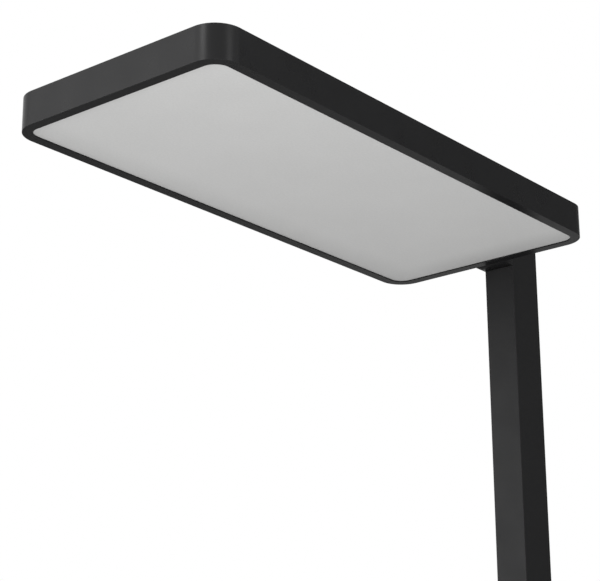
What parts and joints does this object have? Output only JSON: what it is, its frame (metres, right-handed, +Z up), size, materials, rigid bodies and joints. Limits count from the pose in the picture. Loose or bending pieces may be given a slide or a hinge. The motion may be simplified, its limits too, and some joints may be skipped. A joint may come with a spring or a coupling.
{
  "type": "office floor lamp",
  "caption": "Office floor lamp with a flat rectangular light head held by a short neck on a rectangular mast, with sprung control keys and a U-shaped base plate.",
  "frame": {"origin": "on the floor, on the mast's centre line, at the middle of the rubber pad below the mast", "axes": "+Z up along the mast; the head and the base plate's legs reach out along -X; +Y along the head's width"},
  "size_m": [0.7475, 0.28, 1.95],
  "materials": {
    "powder_black": "satin black powder coat with a very fine grain",
    "panel_opal": "frosted prismatic acrylic, light grey when the lamp is off",
    "lens_opal": "opal acrylic, smooth",
    "guide_acrylic": "clear acrylic",
    "white_sheet": "matt white film",
    "steel": "zinc plated",
    "aluminium": "mill finish",
    "black_plastic": "fine textured black plastic",
    "rubber": "matt",
    "board": "white solder mask",
    "board_green": "green solder mask",
    "white_case": "smooth white",
    "lead_black": "smooth black sheath",
    "flex": "orange flexible conductor",
    "light_pipe": "frosted clear"
  },
  "bodies": {
    "lamp": {"base_plate": "powder_black", "base_glides": "rubber", "foot_block": "steel", "foot_screws": "steel", "grub_screws": "steel", "cable_gland": "black_plastic", "gland_nut": "black_plastic", "mast_tube": "powder_black", "mast_cap": "powder_black", "mast_head_block": "aluminium", "neck": "powder_black", "neck_screws": "steel", "head_bracket": "aluminium", "bracket_screws": "steel", "head_frame": "powder_black", "light_panel": "panel_opal", "light_guide": "guide_acrylic", "reflector_sheet": "white_sheet", "led_strips": "board", "strip_jumpers": "flex", "gear_tray": "aluminium", "tray_screws": "steel", "led_driver": "white_case", "driver_screws": "steel", "terminal_block": "white_case", "uplight_boards": "board", "uplight_lenses": "lens_opal", "top_cover": "powder_black", "cover_screws": "powder_black", "mains_lead": "lead_black", "control_lead": "lead_black", "driver_lead": "lead_black", "strip_leads": "flex", "lead_connector": "black_plastic", "control_housing": "black_plastic", "control_fascia": "black_plastic", "control_board": "board_green", "key_switches": "steel", "status_light": "light_pipe"},
    "brighter": {"brighter_key": "black_plastic"},
    "power": {"power_key": "black_plastic"},
    "dimmer": {"dimmer_key": "black_plastic"}
  },
  "joints": [
    {"name": "brighter_press", "type": "slide", "parent": "lamp", "child": "brighter", "axis": [1, 0, 0], "range_m": [0, 0.0008], "stiffness_N_per_m": 800, "springref_m": -0.0006},
    {"name": "power_press", "type": "slide", "parent": "lamp", "child": "power", "axis": [1, 0, 0], "range_m": [0, 0.0008], "stiffness_N_per_m": 800, "springref_m": -0.0006},
    {"name": "dimmer_press", "type": "slide", "parent": "lamp", "child": "dimmer", "axis": [1, 0, 0], "range_m": [0, 0.0008], "stiffness_N_per_m": 800, "springref_m": -0.0006}
  ]
}
